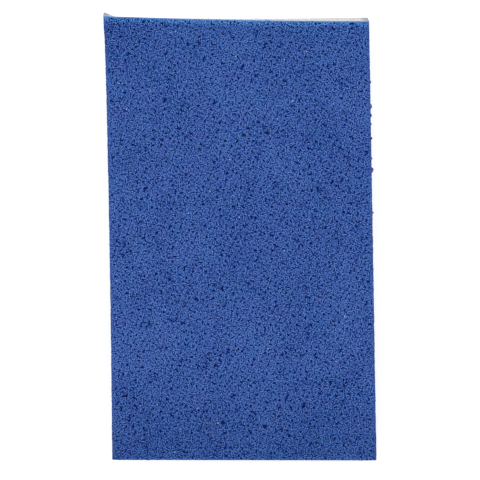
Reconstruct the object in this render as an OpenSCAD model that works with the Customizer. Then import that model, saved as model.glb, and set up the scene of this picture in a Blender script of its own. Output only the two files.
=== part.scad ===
// Sanding sponge: a block of open-cell foam with a pinholed coat of grit and resin
// bonded round its four long faces. The two short ends are bare foam, where the coated
// plank was sawn to length a little off square.
// Width runs along X, length along Y, thickness along Z, and the block lies on Z = 0.

/* [Block] */
// Width across the working face, coat included
block_w = 76.2; // [50:0.1:120]
// Length down the middle of the working face
block_l = 127; // [80:0.5:200]
// Thickness from working face to working face
block_t = 25.4; // [12:0.1:50]
// Outside radius of the four coated long edges
edge_r = 1.8; // [1.6:0.1:5]

/* [Sawn ends] */
// Slant of the far end's cut along the upper face, in degrees off square
far_skew_upper = 2.1; // [0:0.1:5]
// Slant of that cut along the lower face: the saw wandered by the difference
far_skew_lower = 1; // [0:0.1:5]
// Slant of the near end's cut, in degrees off square
near_skew = 1.1; // [0:0.1:5]

/* [Grit coat] */
// Thickness of the coat
coat_t = 0.8; // [0.6:0.05:1.5]
// Coat left under the floor of a pit
pit_floor = 0.3; // [0.1:0.05:0.4]
// Distance between neighbouring pits
pit_pitch = 5.6; // [4:0.1:12]
// Mean radius of the smallest pits
pit_r_min = 0.35; // [0.2:0.05:0.5]
// Mean radius of the largest pits
pit_r_max = 0.8; // [0.5:0.05:1]
// How far a pit strays from its place in the pattern
pit_stray = 1.5; // [0:0.1:1.6]
// Bare rim kept between the pits and the edges of a face
pit_rim = 2; // [1:0.1:5]
// Seed of the pits' layout
pit_seed = 7; // [1:1:999]

/* [Hidden] */
// Extra reach of a cutter past the surface it opens
overcut = 1;
// Steps in the wandering cut across the width
saw_steps = 8;
edge_fn = 64;

core_w = block_w - 2 * coat_t;
core_t = block_t - 2 * coat_t;
core_r = edge_r - coat_t;
pit_depth = coat_t - pit_floor;

// Each cut's furthest corner, before the block is centred on the origin
far_reach = block_l / 2 + block_w / 2 * tan(far_skew_upper);
near_reach = block_l / 2 + block_w / 2 * tan(near_skew);
centre_y = (far_reach - near_reach) / 2;

// Slope of the far cut at a height: it turns evenly from the lower face to the upper
function far_slope(z) = tan(far_skew_lower)
    + (tan(far_skew_upper) - tan(far_skew_lower)) * z / block_t;
function far_y(x, z) = far_reach - centre_y - (x + block_w / 2) * far_slope(z);
function near_y(x) = -block_l / 2 - centre_y - x * tan(near_skew);

// Flat length between the two cuts, where a pit stays whole
pit_end_rim = pit_rim + block_w * tan(max(far_skew_upper, far_skew_lower, near_skew));
pit_field_l = far_reach + near_reach - 2 * pit_end_rim;

// Cross-section of the plank, with true arcs at its four corners
module rounded_profile(w, t, r) {
    square([w - 2 * r, t], center = true);
    square([w, t - 2 * r], center = true);
    for (x = [-1, 1], z = [-1, 1])
        translate([x * (w / 2 - r), z * (t / 2 - r)]) circle(r = r, $fn = edge_fn);
}

module plank(w, t, r) {
    translate([0, 0, block_t / 2])
        rotate([90, 0, 0])
            linear_extrude(height = 2 * (far_reach + near_reach), center = true)
                rounded_profile(w, t, r);
}

// The room between the two saw cuts. The far one is ruled: each of its lines runs from the
// lower face to the upper, and together they turn from one slant to the other.
module between_cuts() {
    half_w = block_w / 2 + overcut;
    low = -overcut;
    high = block_t + overcut;
    stations = [for (i = [0:saw_steps]) half_w * (2 * i / saw_steps - 1)];
    points = [for (x = stations) each [
        [x, near_y(x), low], [x, far_y(x, low), low],
        [x, far_y(x, high), high], [x, near_y(x), high]]];
    last = 4 * saw_steps;
    skin = [for (i = [0:saw_steps - 1], side = [0:3])
        let (a = 4 * i + side, b = 4 * i + (side + 1) % 4)
            each [[a, b + 4, b], [a, a + 4, b + 4]]];
    polyhedron(points, concat([[0, 1, 2, 3]], skin, [[last + 3, last + 2, last + 1, last]]));
}

module sawn_plank(w, t, r) {
    intersection() {
        plank(w, t, r);
        between_cuts();
    }
}

// One pit's mouth: a small ragged polygon, no two alike
module pit_mouth(radius, sides, seed) {
    reach = rands(0.7, 1.3, sides, seed);
    polygon([for (i = [0:sides - 1])
        radius * reach[i] * [cos(i * 360 / sides), sin(i * 360 / sides)]]);
}

// Pits scattered over a flat rectangle, in staggered rows that each pit strays from
module pit_field(w, l, seed) {
    cols = floor(w / pit_pitch);
    rows = floor(l / pit_pitch);
    stagger = (w - cols * pit_pitch) / 2;
    dice = rands(0, 1, 5 * cols * rows, seed);
    for (row = [0:rows - 1], col = [0:cols - 1]) {
        k = 5 * (row * cols + col);
        across = (col + 0.5 - cols / 2) * pit_pitch + (row % 2 == 0 ? -stagger : stagger);
        along = (row + 0.5 - rows / 2) * pit_pitch;
        stray = pit_stray * [2 * dice[k] - 1, 2 * dice[k + 1] - 1];
        radius = pit_r_min + (pit_r_max - pit_r_min) * pow(dice[k + 2], 2);
        translate([across, along] + stray)
            rotate(360 * dice[k + 3])
                pit_mouth(radius, 4 + floor(2 * dice[k + 4]), seed + k);
    }
}

// The pits of one long face: turn brings the upper face round to it, and reach is its
// distance from the block's centre line
module face_pits(turn, face_w, reach, seed) {
    translate([0, 0, block_t / 2])
        rotate([0, turn, 0])
            translate([0, 0, reach - pit_depth])
                linear_extrude(height = pit_depth + overcut)
                    pit_field(face_w - 2 * (edge_r + pit_rim), pit_field_l, seed);
}

module foam_core() {
    color([0.9, 0.88, 0.83]) sawn_plank(core_w, core_t, core_r);
}

module abrasive_coat() {
    color([0.21, 0.33, 0.59])
        difference() {
            sawn_plank(block_w, block_t, edge_r);
            plank(core_w, core_t, core_r);
            face_pits(0, block_w, block_t / 2, pit_seed);
            face_pits(180, block_w, block_t / 2, pit_seed + 1);
            face_pits(90, block_t, block_w / 2, pit_seed + 2);
            face_pits(-90, block_t, block_w / 2, pit_seed + 3);
        }
}

foam_core();
abrasive_coat();
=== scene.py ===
import math
import bmesh
import bpy
import numpy as np
from mathutils import Matrix, Vector


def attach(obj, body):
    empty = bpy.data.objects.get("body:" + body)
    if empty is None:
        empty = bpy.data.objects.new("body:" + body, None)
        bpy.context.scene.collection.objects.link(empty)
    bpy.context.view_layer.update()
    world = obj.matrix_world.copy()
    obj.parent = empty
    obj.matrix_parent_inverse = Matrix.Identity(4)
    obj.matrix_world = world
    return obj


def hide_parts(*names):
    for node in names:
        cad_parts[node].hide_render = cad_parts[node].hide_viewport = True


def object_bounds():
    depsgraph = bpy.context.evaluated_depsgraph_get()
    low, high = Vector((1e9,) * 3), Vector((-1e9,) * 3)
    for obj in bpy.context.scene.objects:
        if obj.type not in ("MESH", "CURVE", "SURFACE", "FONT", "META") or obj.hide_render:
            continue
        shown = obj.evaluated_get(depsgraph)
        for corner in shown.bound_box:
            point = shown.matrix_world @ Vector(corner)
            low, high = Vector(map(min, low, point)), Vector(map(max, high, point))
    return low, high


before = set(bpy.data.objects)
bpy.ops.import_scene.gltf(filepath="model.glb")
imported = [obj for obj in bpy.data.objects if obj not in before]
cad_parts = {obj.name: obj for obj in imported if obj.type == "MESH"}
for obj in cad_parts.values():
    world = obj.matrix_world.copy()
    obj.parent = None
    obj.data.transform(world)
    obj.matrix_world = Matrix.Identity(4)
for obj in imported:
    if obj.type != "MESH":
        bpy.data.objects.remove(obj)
cadLow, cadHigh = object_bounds()
scene = bpy.context.scene
millimetre = 0.001
print("block loaded")

# The block in metres. The slants are those of the two saw cuts in the CAD model.
block = {
    "width": cadHigh.x - cadLow.x,
    "thick": cadHigh.z - cadLow.z,
    "farReach": cadHigh.y,
    "nearReach": -cadLow.y,
    "edgeRadius": 1.8 * millimetre,
    "coatThick": 0.8 * millimetre,
    "farSkewUpper": math.radians(2.1),
    "farSkewLower": math.radians(1.0),
    "nearSkew": math.radians(1.1),
    "leftInset": 0.15 * millimetre,    # the left side stands this far inside the true block,
    "leftWaist": 0.3 * millimetre,     # and is drawn in by this much more at mid-length
    "leftCorner": 0.35 * millimetre,   # but not at its far corner
    "leftCornerLength": 7 * millimetre,
    "farBow": 0.36 * millimetre,       # how far the far cut is hollow at mid-width
    "cornerFlare": 1.3 * millimetre,   # what the saw left standing under the far left corner
    "cornerFlareWidth": 3.4 * millimetre,
    "cornerFlareTop": 0.92,            # where it ends, as a share of the thickness
    "cornerFlareFade": 5,              # how sharply it ends there
    "cornerFlareRun": 12,              # and how sharply it dies out along the side
}
blockLength = block["farReach"] + block["nearReach"]

# Pinholes in the coat: they sit at every fifth cell of a wandering lattice, with some missing
pinholes = {
    "cell": 0.6 * millimetre,
    "wander": 0.3 * millimetre,        # how far a cell strays by itself
    "drift": 0.65 * millimetre,        # how far whole neighbourhoods stray together
    "every": 5,                        # one lattice place in so many cells
    "share": 0.95,                     # of the lattice's places that hold a pinhole
    "strays": 0.035,                   # of the other cells that are open too
    "mouthMin": 0.5, "mouthMax": 0.85,   # the mouth's size, as a share of its cell
    "depth": 0.5 * millimetre,
    "floor": 0.7,                      # the floor's size, as a share of the mouth
    "rim": 0.4 * millimetre,           # bare margin beside an edge
    "relief": 0.07 * millimetre,       # unevenness of the grit between the pinholes
    "swell": 0.12 * millimetre,        # slow waves of the whole face
    "bigRadius": 0.8 * millimetre,     # large pores on the upper face,
    "bigMouth": 0.8,
    "bigPores": ((-21.3, 40.4), (-20.6, 54.2), (1.5, 30.5),   # and where they are, in mm
                 (8.5, 31.4), (6.1, -54.6), (-6.0, -53.6)),
}

# Open cells at the two sawn ends of the foam, which have no large pores
foamCells = {
    "cell": 0.5 * millimetre, "wander": 0.2 * millimetre, "drift": 0.3 * millimetre,
    "every": 5, "share": 0.95, "strays": 0.16, "mouthMin": 0.7, "mouthMax": 1.1,
    "depth": 0.5 * millimetre, "floor": 0.6, "rim": 0.3 * millimetre,
    "relief": 0.05 * millimetre, "swell": 0.1 * millimetre,
    "bigRadius": 0.0, "bigMouth": 1.0, "bigPores": (),
    "farSeed": 53, "nearSeed": 67,
}


# The two saw cuts, as lines across the block
def farLine(x, z):
    lower, upper = math.tan(block["farSkewLower"]), math.tan(block["farSkewUpper"])
    slope = lower + (upper - lower) * z / block["thick"]
    return block["farReach"] - (x + block["width"] / 2) * slope


def nearLine(x):
    return -block["nearReach"] - (x - block["width"] / 2) * math.tan(block["nearSkew"])


# The small departures from a true block: a drawn-in side, a hollow cut, one standing corner
def settle(x, y, z):
    halfWidth, halfLength = block["width"] / 2, blockLength / 2
    leftward = np.clip(-x / halfWidth, 0, 1)
    farward = np.clip(y / halfLength, 0, 1)
    low = np.clip(block["cornerFlareFade"] * (block["cornerFlareTop"] - z / block["thick"]), 0, 1)
    corner = np.clip(1 - (x + halfWidth) / block["cornerFlareWidth"], 0, 1)
    corner = corner * farward ** block["cornerFlareRun"] * low
    inset = block["leftInset"] + block["leftWaist"] * (1 - (y / halfLength) ** 2)
    inset = inset - block["leftCorner"] * np.exp((y - halfLength) / block["leftCornerLength"])
    newX = x + inset * leftward
    newY = y - block["farBow"] * (1 - (x / halfWidth) ** 2) * farward ** 2
    newZ = np.maximum(z, 0)            # nothing goes below the floor
    return newX, newY + block["cornerFlare"] * corner, newZ


# Lays a flat sheet on one long face and round its two edges. In the sheet, across runs round
# the block's girth, along runs down its length, and lift stands off the face.
def layCoat(flat, faceWidth, reach, turn):
    across, along, lift = flat[:, 0], flat[:, 1], flat[:, 2]
    radius = block["edgeRadius"]
    straight = faceWidth / 2 - radius
    angle = np.clip(np.abs(across) - straight, 0, None) / radius
    side = np.sign(across)
    sideways = side * (np.minimum(np.abs(across), straight) + (radius + lift) * np.sin(angle))
    outwards = reach - radius + (radius + lift) * np.cos(angle)
    cosTurn, sinTurn = round(math.cos(turn)), round(math.sin(turn))
    x = cosTurn * sideways + sinTurn * outwards
    z = -sinTurn * sideways + cosTurn * outwards + block["thick"] / 2
    near = nearLine(x)
    y = near + (farLine(x, z) - near) * (along / blockLength + 0.5)
    return np.stack(settle(x, y, z), axis=1)


# Stands a flat sheet up on one sawn end of the foam
def layEnd(flat, isFar):
    across, upright, lift = flat[:, 0], flat[:, 1], flat[:, 2]
    radius = block["edgeRadius"] - block["coatThick"]
    halfWidth = block["width"] / 2 - block["coatThick"]
    halfThick = block["thick"] / 2 - block["coatThick"]
    # the sheet's four square corners are drawn in to the core's round ones
    u = np.clip((np.abs(across) - (halfWidth - radius)) / radius, 0, 1)
    v = np.clip((np.abs(upright) - (halfThick - radius)) / radius, 0, 1)
    across = across - np.sign(across) * radius * u * (1 - np.sqrt(1 - v * v / 2))
    upright = upright - np.sign(upright) * radius * v * (1 - np.sqrt(1 - u * u / 2))
    z = upright + block["thick"] / 2
    x = -across if isFar else across
    y = farLine(x, z) + lift if isFar else nearLine(x) - lift
    return x, y, z


def addNode(tree, kind, inputs=None, **settings):
    node = tree.nodes.new(kind)
    for name, value in settings.items():
        setattr(node, name, value)
    for key, value in (inputs or {}).items():
        socket = node.inputs[key]
        if isinstance(value, bpy.types.NodeSocket):
            tree.links.new(value, socket)
        else:
            socket.default_value = value
    return node


def calc(tree, operation, first, second=0.0):
    return addNode(tree, "ShaderNodeMath", {0: first, 1: second}, operation=operation).outputs[0]


def pickRandom(tree, low, high, seed):
    node = addNode(tree, "FunctionNodeRandomValue", {2: low, 3: high, 8: seed}, data_type="FLOAT")
    return node.outputs[1]


def position(tree):
    return addNode(tree, "GeometryNodeInputPosition").outputs[0]


def separate(tree, value):
    return addNode(tree, "ShaderNodeSeparateXYZ", {0: value}).outputs


def combine(tree, x=0.0, y=0.0, z=0.0):
    return addNode(tree, "ShaderNodeCombineXYZ", {0: x, 1: y, 2: z}).outputs[0]


def store(tree, geometry, name, value, kind="FLOAT"):
    return addNode(tree, "GeometryNodeStoreNamedAttribute",
                   {"Geometry": geometry, "Name": name, "Value": value},
                   data_type=kind, domain="POINT").outputs[0]


def recall(tree, name):
    return addNode(tree, "GeometryNodeInputNamedAttribute", {"Name": name},
                   data_type="FLOAT").outputs[0]


# What every pitted sheet has in common, whatever its cells
sheetRules = {
    "rowShift": 2,                     # each row of pits stands so many cells over from the last
    "stagger": 0.5,                    # zigzag of the rows, as a share of a cell
    "driftScale": 260.0,               # noise that moves whole neighbourhoods
    "driftGain": 4,
    "stillRim": 0.4,                   # nothing strays this near the outline, as a share of a cell,
    "flatRim": 0.2,                    # and nothing rises this near
    "swellScale": 230.0,
    "swellFade": 2 * millimetre,       # the swell dies out this near the outline
    "shallowest": 0.55,                # the least deep pit, as a share of the depth
    "bigClearance": 2,                 # large pores keep small ones so many radii away
    "patternStep": 0.13,               # parts one sheet's grain from the next one's
    "mergeReach": 0.001 * millimetre,
    "smallMark": 1, "bigMark": 2,      # how a pit and a large pore are marked
}

# The tree's inputs that come from a piece's own dictionary
sheetInputs = {
    "Cell": "cell", "Wander": "wander", "Drift": "drift", "Every": "every", "Share": "share",
    "Strays": "strays", "Mouth Min": "mouthMin", "Mouth Max": "mouthMax", "Depth": "depth",
    "Floor": "floor", "Rim": "rim", "Relief": "relief", "Swell": "swell",
    "Big Radius": "bigRadius", "Big Mouth": "bigMouth",
}
bigPoreNames = [f"Big Pore {i + 1}" for i in range(len(pinholes["bigPores"]))]


def isMarked(tree, mark):
    return calc(tree, "GREATER_THAN", recall(tree, "pit"), mark - 0.5)


def sheetSockets(tree):
    sockets = [("Geometry", "INPUT", "NodeSocketGeometry"),
               ("Geometry", "OUTPUT", "NodeSocketGeometry")]
    for name in ("Width", "Length", *sheetInputs, "Skirt"):
        sockets.append((name, "INPUT", "NodeSocketFloat"))
    sockets.append(("Seed", "INPUT", "NodeSocketInt"))
    for name in bigPoreNames:
        sockets.append((name, "INPUT", "NodeSocketVector"))
    sockets.append(("Fill Back", "INPUT", "NodeSocketBool"))
    for name in ("Face Material", "Cut Material"):
        sockets.append((name, "INPUT", "NodeSocketMaterial"))
    for name, direction, kind in sockets:
        tree.interface.new_socket(name=name, in_out=direction, socket_type=kind)


def edgeDistance(tree, size, along):
    return calc(tree, "SUBTRACT", calc(tree, "MULTIPLY", size, 0.5), calc(tree, "ABSOLUTE", along))


def rimDistance(tree, given, place):
    return calc(tree, "MINIMUM", edgeDistance(tree, given["Width"], place["X"]),
                edgeDistance(tree, given["Length"], place["Y"]))


# A grid of cell corners, some of them marked as pits, that stray from their places. The marks
# run in slanting lanes, so that no row shows.
def markedGrid(tree, given, seed):
    rules, cell = sheetRules, given["Cell"]
    columns = calc(tree, "ROUND", calc(tree, "DIVIDE", given["Width"], cell))
    rows = calc(tree, "ROUND", calc(tree, "DIVIDE", given["Length"], cell))
    grid = addNode(tree, "GeometryNodeMeshGrid", {
        "Size X": given["Width"], "Size Y": given["Length"],
        "Vertices X": calc(tree, "ADD", columns, 1), "Vertices Y": calc(tree, "ADD", rows, 1)})
    place = separate(tree, position(tree))
    toRim = rimDistance(tree, given, place)
    column = calc(tree, "ROUND", calc(tree, "DIVIDE", place["X"], cell))
    row = calc(tree, "ROUND", calc(tree, "DIVIDE", place["Y"], cell))
    lane = calc(tree, "ADD", column, calc(tree, "MULTIPLY", row, rules["rowShift"]))
    lane = calc(tree, "FLOORED_MODULO", lane, given["Every"])
    chosen = calc(tree, "MULTIPLY", calc(tree, "LESS_THAN", lane, 0.5),
                  calc(tree, "LESS_THAN", pickRandom(tree, 0.0, 1.0, seed[0]), given["Share"]))
    stray = calc(tree, "LESS_THAN", pickRandom(tree, 0.0, 1.0, seed[1]), given["Strays"])
    isPit = calc(tree, "MULTIPLY", calc(tree, "MAXIMUM", chosen, stray),
                 calc(tree, "GREATER_THAN", toRim, given["Rim"]))
    marked = store(tree, grid.outputs["Mesh"], "pit", isPit)

    # the corners stray, alone and with their neighbours, but not on the sheet's own outline
    inside = calc(tree, "GREATER_THAN", toRim, calc(tree, "MULTIPLY", cell, rules["stillRim"]))
    minus = calc(tree, "MULTIPLY", given["Wander"], -1)
    stagger = calc(tree, "MULTIPLY", calc(tree, "SUBTRACT", calc(tree, "PINGPONG", row, 1), 0.5),
                   calc(tree, "MULTIPLY", cell, rules["stagger"]))
    clouds = addNode(tree, "ShaderNodeTexNoise", {"Scale": rules["driftScale"], "Detail": 1.0})
    cloud = separate(tree, clouds.outputs["Color"])

    def strayBy(i, extra):
        own = pickRandom(tree, minus, given["Wander"], seed[2 + i])
        shared = calc(tree, "MULTIPLY", calc(tree, "SUBTRACT", cloud[i], 0.5),
                      calc(tree, "MULTIPLY", given["Drift"], rules["driftGain"]))
        return calc(tree, "MULTIPLY", inside,
                    calc(tree, "ADD", calc(tree, "ADD", own, shared), extra))

    offset = combine(tree, strayBy(0, stagger), strayBy(1, 0.0))
    return addNode(tree, "GeometryNodeSetPosition",
                   {"Geometry": marked, "Offset": offset}).outputs[0]


# A large pore takes the cells that lie in it, and keeps the next ones whole
def markBigPores(tree, given, sheet):
    radius = given["Big Radius"]
    mark = recall(tree, "pit")
    for name in bigPoreNames:
        away = addNode(tree, "ShaderNodeVectorMath", {0: position(tree), 1: given[name]},
                       operation="DISTANCE").outputs["Value"]
        clear = calc(tree, "GREATER_THAN", away,
                     calc(tree, "MULTIPLY", radius, sheetRules["bigClearance"]))
        taken = calc(tree, "MULTIPLY", calc(tree, "LESS_THAN", away, radius),
                     sheetRules["bigMark"])
        mark = calc(tree, "MAXIMUM", calc(tree, "MULTIPLY", mark, clear), taken)
    return store(tree, sheet, "pit", mark)


# The marked cells are drawn together into mouths and sunk, and the whole face made uneven
def sinkPits(tree, given, seed, sheet, down):
    rules = sheetRules
    isPit = isMarked(tree, rules["smallMark"])
    bigMouth = calc(tree, "MULTIPLY", isMarked(tree, rules["bigMark"]), given["Big Mouth"])
    mouths = addNode(tree, "GeometryNodeScaleElements", {
        "Geometry": sheet, "Selection": isPit,
        "Scale": calc(tree, "MAXIMUM", bigMouth,
                      pickRandom(tree, given["Mouth Min"], given["Mouth Max"], seed[4]))})
    toRim = rimDistance(tree, given, separate(tree, position(tree)))
    inside = calc(tree, "GREATER_THAN", toRim,
                  calc(tree, "MULTIPLY", given["Cell"], rules["flatRim"]))
    uneven = calc(tree, "MULTIPLY", inside, pickRandom(
        tree, calc(tree, "MULTIPLY", given["Relief"], -1), given["Relief"], seed[5]))
    wave = addNode(tree, "ShaderNodeTexNoise",
                   {"Scale": rules["swellScale"], "Detail": 1.0}).outputs["Fac"]
    fade = addNode(tree, "ShaderNodeMapRange",
                   {"Value": toRim, "From Max": rules["swellFade"]}).outputs[0]
    swell = calc(tree, "MULTIPLY", calc(tree, "MULTIPLY", calc(tree, "SUBTRACT", wave, 0.5), fade),
                 calc(tree, "MULTIPLY", given["Swell"], 2))
    rough = addNode(tree, "GeometryNodeSetPosition", {
        "Geometry": mouths.outputs[0],
        "Offset": combine(tree, z=calc(tree, "ADD", uneven, swell))})
    sunk = addNode(tree, "GeometryNodeExtrudeMesh", {
        "Mesh": rough.outputs[0], "Selection": isPit, "Offset": down, "Individual": False,
        "Offset Scale": calc(tree, "MULTIPLY", given["Depth"],
                             pickRandom(tree, rules["shallowest"], 1.0, seed[6]))}, mode="FACES")
    return addNode(tree, "GeometryNodeScaleElements", {
        "Geometry": sunk.outputs["Mesh"], "Selection": sunk.outputs["Top"],
        "Scale": given["Floor"]}).outputs[0]


# What the materials read: how deep a point lies, how far along and how near a side it is, and
# its place in the flat sheet
def storeMeasures(tree, given, sheet):
    place = separate(tree, position(tree))
    deep = calc(tree, "MULTIPLY", calc(tree, "DIVIDE", place["Z"], given["Depth"]), -1)
    farward = calc(tree, "DIVIDE", place["Y"], calc(tree, "MULTIPLY", given["Length"], 0.5))
    toSide = edgeDistance(tree, given["Width"], place["X"])
    for name, value in (("deep", deep), ("farward", farward), ("toSide", toSide)):
        sheet = store(tree, sheet, name, value)
    step = calc(tree, "MULTIPLY", given["Seed"], sheetRules["patternStep"])
    flat = combine(tree, calc(tree, "ADD", place["X"], step), place["Y"])
    return store(tree, sheet, "flat", flat, "FLOAT_VECTOR")


# The sheet's edge goes down to its back, which is filled
def closeSheet(tree, given, sheet, down):
    border = calc(tree, "COMPARE",
                  addNode(tree, "GeometryNodeInputMeshEdgeNeighbors").outputs[0], 1)
    skirt = addNode(tree, "GeometryNodeExtrudeMesh", {
        "Mesh": sheet, "Selection": border, "Offset": down,
        "Offset Scale": given["Skirt"]}, mode="EDGES")
    outline = addNode(tree, "GeometryNodeMeshToCurve",
                      {"Mesh": skirt.outputs["Mesh"], "Selection": skirt.outputs["Top"]})
    filled = addNode(tree, "GeometryNodeFillCurve", {"Curve": outline.outputs[0]}, mode="NGONS")
    flipped = addNode(tree, "GeometryNodeFlipFaces", {0: filled.outputs[0]})
    lowered = addNode(tree, "GeometryNodeTransform", {
        "Geometry": flipped.outputs[0],
        "Translation": combine(tree, z=calc(tree, "MULTIPLY", given["Skirt"], -1))})
    back = addNode(tree, "GeometryNodeSwitch", {
        "Switch": given["Fill Back"], "True": lowered.outputs[0]}, input_type="GEOMETRY")
    cut = addNode(tree, "GeometryNodeStoreNamedAttribute", {
        "Geometry": skirt.outputs["Mesh"], "Selection": skirt.outputs["Side"],
        "Name": "cut", "Value": 1.0}, data_type="FLOAT", domain="FACE")
    joined = addNode(tree, "GeometryNodeJoinGeometry")
    for part in (back, cut):
        tree.links.new(part.outputs[0], joined.inputs[0])
    return addNode(tree, "GeometryNodeMergeByDistance", {
        "Geometry": joined.outputs[0], "Distance": sheetRules["mergeReach"]}).outputs[0]


def pitTree():
    tree = bpy.data.node_groups.new("pittedSheet", "GeometryNodeTree")
    sheetSockets(tree)
    given = addNode(tree, "NodeGroupInput").outputs
    seed = [calc(tree, "ADD", given["Seed"], i) for i in range(7)]   # one for each random choice
    down = combine(tree, z=-1.0)
    sheet = markBigPores(tree, given, markedGrid(tree, given, seed))
    triangles = addNode(tree, "GeometryNodeTriangulate", {0: sheet},
                        quad_method="SHORTEST_DIAGONAL")
    sheet = addNode(tree, "GeometryNodeDualMesh",
                    {"Mesh": triangles.outputs[0], "Keep Boundaries": True}).outputs[0]
    sheet = storeMeasures(tree, given, sinkPits(tree, given, seed, sheet, down))
    sheet = closeSheet(tree, given, sheet, down)
    real = addNode(tree, "GeometryNodeRealizeInstances", {0: sheet})
    faced = addNode(tree, "GeometryNodeSetMaterial",
                    {"Geometry": real.outputs[0], "Material": given["Face Material"]})
    finished = addNode(tree, "GeometryNodeSetMaterial", {
        "Geometry": faced.outputs[0], "Material": given["Cut Material"],
        "Selection": calc(tree, "GREATER_THAN", recall(tree, "cut"), 0.5)})
    addNode(tree, "NodeGroupOutput", {0: finished.outputs[0]})
    return tree


# Runs the tree once and returns its result as a plain mesh
def pittedSheet(tree, width, length, sizes, skirt, seed, fillBack, faceMaterial, cutMaterial):
    holder = bpy.data.objects.new("holder", bpy.data.meshes.new("holder"))
    scene.collection.objects.link(holder)
    modifier = holder.modifiers.new("pits", "NODES")
    modifier.node_group = tree
    values = {name: sizes[key] for name, key in sheetInputs.items()}
    values.update({
        "Width": width, "Length": length, "Skirt": skirt, "Seed": seed, "Fill Back": fillBack,
        "Face Material": faceMaterial, "Cut Material": cutMaterial})
    for name, (across, along) in zip(bigPoreNames, sizes["bigPores"]):
        values[name] = (across * millimetre, along * millimetre, 0.0)
    for item in tree.interface.items_tree:
        if item.in_out == "INPUT" and item.name in values:
            modifier[item.identifier] = values[item.name]
    bpy.context.view_layer.update()
    evaluated = holder.evaluated_get(bpy.context.evaluated_depsgraph_get())
    mesh = bpy.data.meshes.new_from_object(evaluated)
    bpy.data.objects.remove(holder)
    return mesh


def readPoints(mesh):
    points = np.empty(len(mesh.vertices) * 3)
    mesh.vertices.foreach_get("co", points)
    return points.reshape(-1, 3)


def writePoints(mesh, points):
    mesh.vertices.foreach_set("co", points.ravel())
    mesh.update()


sharpAngle = math.radians(66)          # only the sawn edges are sharper


def placePiece(name, mesh, node):
    piece = bpy.data.objects.new(name, mesh)
    mesh.name = name
    scene.collection.objects.link(piece)
    mesh.shade_smooth()
    mesh.set_sharp_from_angle(angle=sharpAngle)
    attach(piece, "root")
    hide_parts(node)
    print(name, sum(len(face.vertices) - 2 for face in mesh.polygons), "triangles")
    return piece


def startMaterial(name, roughness, specular):
    material = bpy.data.materials.new(name)
    material.use_nodes = True
    tree = material.node_tree
    shader = tree.nodes["Principled BSDF"]
    shader.inputs["Roughness"].default_value = roughness
    shader.inputs["Specular IOR Level"].default_value = specular
    return material, tree, shader


def objectPlace(tree):
    return addNode(tree, "ShaderNodeTexCoord").outputs["Object"]


def attribute(tree, name, output="Fac"):
    return addNode(tree, "ShaderNodeAttribute", attribute_name=name).outputs[output]


def mixColors(tree, amount, first, second, blend="MIX"):
    node = addNode(tree, "ShaderNodeMix", {0: amount, 6: first, 7: second},
                   data_type="RGBA", blend_type=blend)
    return node.outputs[2]


def tinted(tree, color, tint):
    return mixColors(tree, 1.0, color, tint, "MULTIPLY")


# Brings a value that runs from low to high to run from toLow to toHigh
def spread(tree, value, low, high, toLow=0.0, toHigh=1.0):
    node = addNode(tree, "ShaderNodeMapRange", {
        "Value": value, "From Min": low, "From Max": high, "To Min": toLow, "To Max": toHigh})
    return node.outputs[0]


def noise(tree, place, scale, detail, dimensions="3D"):
    return addNode(tree, "ShaderNodeTexNoise",
                   {"Vector": place, "Scale": scale, "Detail": detail},
                   noise_dimensions=dimensions).outputs["Fac"]


# How far a point is from the middle of its cell
def cellDistance(tree, place, scale):
    return addNode(tree, "ShaderNodeTexVoronoi",
                   {"Vector": place, "Scale": scale}).outputs["Distance"]


def ramp(tree, value, stops):
    node = addNode(tree, "ShaderNodeValToRGB", {0: value})
    for stop, color in stops[1:-1]:
        node.color_ramp.elements.new(stop)
    for element, (stop, color) in zip(node.color_ramp.elements, stops):
        element.position = stop
        element.color = color
    return node.outputs["Color"]


def addBump(tree, shader, height):
    bump = addNode(tree, "ShaderNodeBump",
                   {"Height": height, "Strength": 0.6, "Distance": 0.15 * millimetre})
    tree.links.new(bump.outputs[0], shader.inputs["Normal"])


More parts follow.
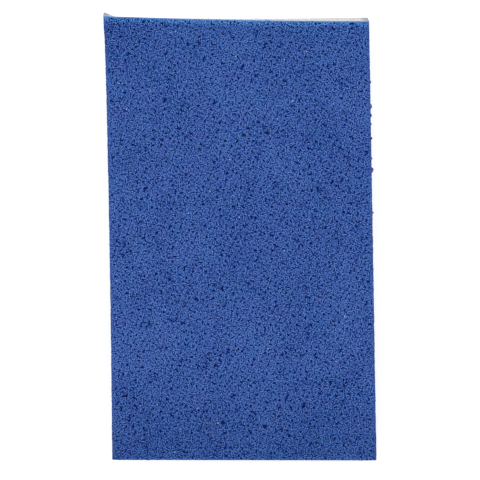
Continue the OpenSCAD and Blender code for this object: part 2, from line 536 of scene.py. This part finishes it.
coatLook = {
    "roughness": 0.9, "specular": 0.15,
    "heights": (                                # the grit's colour by its height; low places take painted shade
        (0.0, (0.0, 0.006, 0.110, 1)),          # from the painted shade at the bottom of a pinhole
        (0.22, (0.002, 0.038, 0.245, 1)),
        (0.48, (0.034, 0.100, 0.372, 1)),
        (0.72, (0.066, 0.147, 0.452, 1)),
        (1.0, (0.124, 0.232, 0.590, 1)),        # to the top of the grit
    ),
    "level": 0.55,                              # height of the plain face
    "grain": 3050.0, "grainWeight": 2.1,        # scale of each pattern, and its share of the height
    # painted shade in the worms' valleys
    "worms": 1050.0, "wormShadeWeight": 0.06, "wormWidth": 0.05,
    "patches": 60.0, "patchWeight": 0.27,
    # painted shade in small pores that have no shape of their own
    "pores": 1500.0, "poreShadeWeight": 0.42, "poreEdge": (0.22, 0.36),
    "pitShadeDepths": (0.08, 0.35), "pitShadeWeight": 0.8,  # painted shade: a pit's wall darkens between these depths
    "bigPoreShade": (0.005, 0.022, 0.075, 1),         # painted shade at the bottom of a large pore
    "bigPoreShadeMarks": (1.2, 1.8), "bigPoreShadeDepths": (0.1, 0.4),
    "hues": 160.0, "hueRange": (0.35, 0.65),    # the grit's hue wanders between
    "violet": (1.06, 0.98, 1.0, 1),
    "cyan": (0.94, 1.02, 1.0, 1),
    "nearShade": (0.72, 0.80, 0.84, 1),         # the face falls off towards both ends
    "nearReach": (-0.6, -1.0),                  # in half lengths of the block, as the next ones
    "farShade": (0.84, 0.94, 0.95, 1),
    "farReach": (0.7, 1.0),
    "paleBand": (1.45, 1.63, 1.36, 1),            # the grit is paler in a narrow band beside each cut
    "farPaleBand": (0.968, 0.985),
    "nearPaleBand": (-0.985, -1.0), "nearPaleBandMost": 0.6,
    "farRim": (0.160, 0.340, 0.660, 1),
    "farRimReach": (0.9925, 1.0),
    "sideLight": 1.1, "sideReach": 2 * millimetre,   # painted light: the grit is made paler beside the long edges, where they round away from the light
    # painted glints: a few grains are made pale, as if catching the light
    "glints": 280.0, "glintEdge": (0.04, 0.055),
    "glint": (0.42, 0.54, 0.90, 1),
}


def coatMaterial():
    look = coatLook
    material, tree, shader = startMaterial("blueGrit", look["roughness"], look["specular"])
    place = objectPlace(tree)

    def above(value, weight):
        return calc(tree, "MULTIPLY", calc(tree, "SUBTRACT", value, 0.5), weight)

    grain = noise(tree, attribute(tree, "flat", "Vector"), look["grain"], 0.0, "2D")
    worms = calc(tree, "ABSOLUTE",
                 calc(tree, "SUBTRACT", noise(tree, place, look["worms"], 0.5), 0.5))
    deep = attribute(tree, "deep")
    # the height takes painted shade from worm valleys, small pores and pit walls
    height = calc(tree, "ADD", above(grain, look["grainWeight"]),
                  spread(tree, worms, 0.0, look["wormWidth"], -look["wormShadeWeight"], 0.0))
    for part in (above(noise(tree, place, look["patches"], 2.0), look["patchWeight"]),
                 spread(tree, cellDistance(tree, place, look["pores"]), *look["poreEdge"],
                        -look["poreShadeWeight"], 0.0),
                 look["level"],
                 spread(tree, deep, *look["pitShadeDepths"], 0.0, -look["pitShadeWeight"])):
        height = calc(tree, "ADD", height, part)
    color = ramp(tree, height, look["heights"])
    # painted shade fills the bottom of each large pore
    bigPoreShade = calc(tree, "MULTIPLY", spread(tree, attribute(tree, "pit"), *look["bigPoreShadeMarks"]),
                  spread(tree, deep, *look["bigPoreShadeDepths"]))
    color = mixColors(tree, bigPoreShade, color, look["bigPoreShade"])
    hue = spread(tree, noise(tree, place, look["hues"], 2.0), *look["hueRange"])
    color = tinted(tree, color, mixColors(tree, hue, look["violet"], look["cyan"]))

    farward = attribute(tree, "farward")
    color = mixColors(tree, spread(tree, farward, *look["nearReach"]), color,
                      tinted(tree, color, look["nearShade"]))
    color = mixColors(tree, spread(tree, farward, *look["farReach"]), color,
                      tinted(tree, color, look["farShade"]))
    # the grit is made paler in a narrow band beside each cut
    paleBand = tinted(tree, color, look["paleBand"])
    color = mixColors(tree, spread(tree, farward, *look["farPaleBand"]), color, paleBand)
    color = mixColors(tree, spread(tree, farward, *look["nearPaleBand"], 0.0,
                                   look["nearPaleBandMost"]), color, paleBand)
    color = mixColors(tree, spread(tree, farward, *look["farRimReach"]), color, look["farRim"])
    # painted light on the rounded long edges
    sideLightScale = spread(tree, attribute(tree, "toSide"), 0.0, look["sideReach"], look["sideLight"], 1.0)
    color = addNode(tree, "ShaderNodeVectorMath", {0: color, "Scale": sideLightScale},
                    operation="SCALE").outputs[0]
    # painted glints on a few grains
    glint = spread(tree, cellDistance(tree, place, look["glints"]), *look["glintEdge"], 1.0, 0.0)
    color = mixColors(tree, glint, color, look["glint"])
    tree.links.new(color, shader.inputs["Base Color"])
    addBump(tree, shader, grain)
    return material


# The coat's own cut section at both ends
sectionLook = {
    "roughness": 0.9, "specular": 0.2,
    "color": (0.55, 0.58, 0.66, 1),
    "shade": (0.28, 0.34, 0.48, 1),
    "grain": 1800.0, "grainRange": (0.35, 0.65),
}


def cutMaterial():
    look = sectionLook
    material, tree, shader = startMaterial("cutCoat", look["roughness"], look["specular"])
    grain = noise(tree, objectPlace(tree), look["grain"], 2.0)
    color = mixColors(tree, spread(tree, grain, *look["grainRange"]), look["shade"], look["color"])
    tree.links.new(color, shader.inputs["Base Color"])
    return material


foamLook = {
    "roughness": 0.95, "specular": 0.15,
    "color": (0.93, 0.92, 0.912, 1),
    "shade": (0.74, 0.725, 0.718, 1),
    "grain": 1500.0, "grainRange": (0.38, 0.6),
    "cell": (0.40, 0.385, 0.38, 1),         # painted shade at the bottom of an open cell
    "cellShadeDepths": (0.15, 0.7),
    "dust": (0.34, 0.36, 0.47, 1),          # grit that the saw smeared over the foam
    "dustReach": 1.8 * millimetre,          # how far in it goes
    "dustMost": 0.8,
}


def foamMaterial():
    look = foamLook
    material, tree, shader = startMaterial("paleFoam", look["roughness"], look["specular"])
    place = objectPlace(tree)
    grain = noise(tree, place, look["grain"], 2.0)
    color = mixColors(tree, spread(tree, grain, *look["grainRange"]), look["shade"], look["color"])
    # painted shade darkens the open cells by depth
    color = mixColors(tree, spread(tree, attribute(tree, "deep"), *look["cellShadeDepths"]), color,
                      look["cell"])
    across = calc(tree, "ABSOLUTE", separate(tree, place)["X"])
    side = block["width"] / 2 - block["coatThick"]
    dusted = spread(tree, across, side - look["dustReach"], side, 0.0, look["dustMost"])
    color = mixColors(tree, dusted, color, look["dust"])
    tree.links.new(color, shader.inputs["Base Color"])
    addBump(tree, shader, grain)
    return material


# Crumbs of grit that the saw pushed out along the right side's upper edge. For each, in mm: how
# far it is from mid-length, how far it stands past the side, and half its length.
crumbs = {
    "along": (44.3, 37.3, 34.6, 32.2, 28.1, 22.3, 19.0, -31.0, -47.5, 6.7, -3.8),
    "proud": (0.42, 0.46, 0.40, 0.32, 0.46, 0.38, 0.52, 0.14, 0.12, 0.44, 0.24),
    "size": (0.62, 0.90, 0.75, 0.60, 0.45, 0.42, 0.90, 0.40, 0.35, 0.45, 0.32),
    "below": 2.2 * millimetre,         # under the upper face
    "sunk": 0.3 * millimetre,
    "straggle": 0.6,                   # how much lower one may hang, as a share of its size
    "darkOne": 4, "darkness": 0.35,    # the fifth is as dark as a pit of this depth
    "unevenness": 0.18,
    "seed": 5,
}


def addCrumbs(mesh, materialIndex):
    work = bmesh.new()
    work.from_mesh(mesh)
    deep = work.verts.layers.float["deep"]
    flat = work.verts.layers.float_vector["flat"]
    chance = np.random.default_rng(crumbs["seed"])
    for i, (along, proud, size) in enumerate(zip(crumbs["along"], crumbs["proud"], crumbs["size"])):
        long = size * millimetre
        out = proud * millimetre + crumbs["sunk"]
        high = block["thick"] - crumbs["below"] - long * chance.uniform(0, crumbs["straggle"])
        centre = Vector((block["width"] / 2 - crumbs["sunk"], along * millimetre, high))
        lump = bmesh.ops.create_icosphere(work, subdivisions=2, radius=1.0)["verts"]
        for point in lump:
            stretch = 1 + chance.uniform(-1, 1) * crumbs["unevenness"]
            shape = Vector((point.co.x * out, point.co.y * long, point.co.z * long))
            point.co = centre + shape * stretch
            point[deep] = crumbs["darkness"] if i == crumbs["darkOne"] else 0.0
            point[flat] = (point.co.z, point.co.y, 0)
        for face in {face for point in lump for face in point.link_faces}:
            face.material_index = materialIndex
    work.to_mesh(mesh)
    work.free()


def makeCoat(tree, faceMaterial, sectionMaterial):
    width, thick = block["width"], block["thick"]
    girthExtra = block["edgeRadius"] * (math.pi / 2 - 2)   # two eighth-turns less two radii
    faces = {   # width, distance from the block's middle, turn about its length, seed
        "upperCoat": (width, thick / 2, 0.0, 11),
        "rightCoat": (thick, width / 2, math.pi / 2, 23),
        "lowerCoat": (width, thick / 2, math.pi, 37),
        "leftCoat": (thick, width / 2, -math.pi / 2, 41),
    }
    for name, (faceWidth, reach, turn, seed) in faces.items():
        sizes = dict(pinholes)
        if name != "upperCoat":
            sizes["bigRadius"] = 0.0
        mesh = pittedSheet(tree, faceWidth + girthExtra, blockLength, sizes, block["coatThick"],
                           seed, True, faceMaterial, sectionMaterial)
        writePoints(mesh, layCoat(readPoints(mesh), faceWidth, reach, turn))
        if name == "rightCoat":
            addCrumbs(mesh, mesh.materials.find(faceMaterial.name))
        placePiece(name, mesh, "abrasive_coat")


seamReach = 0.01 * millimetre


def makeCore(tree, material):
    width = block["width"] - 2 * block["coatThick"]
    thick = block["thick"] - 2 * block["coatThick"]
    work = bmesh.new()
    for isFar, seed in ((True, foamCells["farSeed"]), (False, foamCells["nearSeed"])):
        mesh = pittedSheet(tree, width, thick, foamCells, blockLength / 2, seed, False,
                           material, material)
        flat = readPoints(mesh)
        x, y, z = layEnd(flat, isFar)
        y = np.where(flat[:, 2] < -blockLength / 4, 0.0, y)   # both skirts meet at mid-length
        writePoints(mesh, np.stack(settle(x, y, z), axis=1))
        work.from_mesh(mesh)
    seam = [point for point in work.verts if abs(point.co.y) < seamReach]
    bmesh.ops.remove_doubles(work, verts=seam, dist=seamReach)
    joined = bpy.data.meshes.new("foamCore")
    joined.materials.append(material)
    work.to_mesh(joined)
    work.free()
    core = placePiece("foamCore", joined, "foam_core")


floorSet = {
    "size": 4, "below": 0.02 * millimetre, "roughness": 0.9,
    "color": (0.9, 0.9, 0.9, 1), "glow": 0.5,
}


def makeStage():
    bpy.ops.mesh.primitive_plane_add(size=floorSet["size"], location=(0, 0, -floorSet["below"]))
    floor = bpy.context.object
    floor.name = "paleFloor"
    material, tree, shader = startMaterial("paleFloor", floorSet["roughness"], 0.0)
    shader.inputs["Base Color"].default_value = floorSet["color"]
    seen = addNode(tree, "ShaderNodeLightPath").outputs["Is Camera Ray"]
    shader.inputs["Emission Color"].default_value = (1, 1, 1, 1)
    tree.links.new(calc(tree, "MULTIPLY", seen, floorSet["glow"]),
                   shader.inputs["Emission Strength"])
    floor.data.materials.append(material)


lightSet = {
    "roomLight": 0.6,                  # of the pale room on the block, which is seen as white
    "boxSize": (1.2, 0.8), "boxEnergy": 5.5, "boxPlace": (-0.03, 0.35, 1.0),
}


def makeLight():
    world = bpy.data.worlds.new("softRoom")
    scene.world = world
    world.use_nodes = True
    tree = world.node_tree
    room = tree.nodes["Background"]
    path = addNode(tree, "ShaderNodeLightPath").outputs
    straight = calc(tree, "MAXIMUM", path["Is Camera Ray"],
                    calc(tree, "MAXIMUM", path["Is Glossy Ray"], path["Is Transmission Ray"]))
    tree.links.new(spread(tree, straight, 0.0, 1.0, lightSet["roomLight"], 1.0),
                   room.inputs["Strength"])
    room.inputs["Color"].default_value = (1, 1, 1, 1)
    lamp = bpy.data.lights.new("softBox", "AREA")
    lamp.shape = "RECTANGLE"
    lamp.size, lamp.size_y = lightSet["boxSize"]
    lamp.energy = lightSet["boxEnergy"]
    box = bpy.data.objects.new("softBox", lamp)
    scene.collection.objects.link(box)
    box.location = lightSet["boxPlace"]
    box.rotation_euler = (-box.location).to_track_quat("-Z", "Y").to_euler()


# Almost straight above, rolled a degree, with the far end just in sight
cameraSet = {
    "distance": 1.9, "northing": 0.034, "aimX": -0.00009, "aimY": -0.00046,
    "roll": math.radians(0.98), "spanAcross": 0.13795, "sensorWidth": 36.0, "farthest": 10,
}


def makeCamera():
    camera = bpy.data.cameras.new("camera")
    camera.sensor_width = cameraSet["sensorWidth"]
    camera.lens = camera.sensor_width * cameraSet["distance"] / cameraSet["spanAcross"]
    camera.clip_end = cameraSet["farthest"]
    eye = bpy.data.objects.new("camera", camera)
    scene.collection.objects.link(eye)
    top = block["thick"]
    aim = Vector((cameraSet["aimX"], cameraSet["aimY"], top))
    spot = Vector((cameraSet["aimX"], cameraSet["northing"], top + cameraSet["distance"]))
    back = (spot - aim).normalized()
    north = Vector((math.sin(cameraSet["roll"]), math.cos(cameraSet["roll"]), 0))
    right = north.cross(back).normalized()
    up = back.cross(right)
    eye.matrix_world = Matrix.Translation(spot) @ Matrix((right, up, back)).transposed().to_4x4()
    scene.camera = eye


scene.view_settings.view_transform = "Standard"
makeCamera()
makeStage()
makeLight()
print("stage, light and camera set")
sheetTree = pitTree()
print("pitted sheet tree built")
makeCoat(sheetTree, coatMaterial(), cutMaterial())
print("coat made")
makeCore(sheetTree, foamMaterial())
print("foam core made")
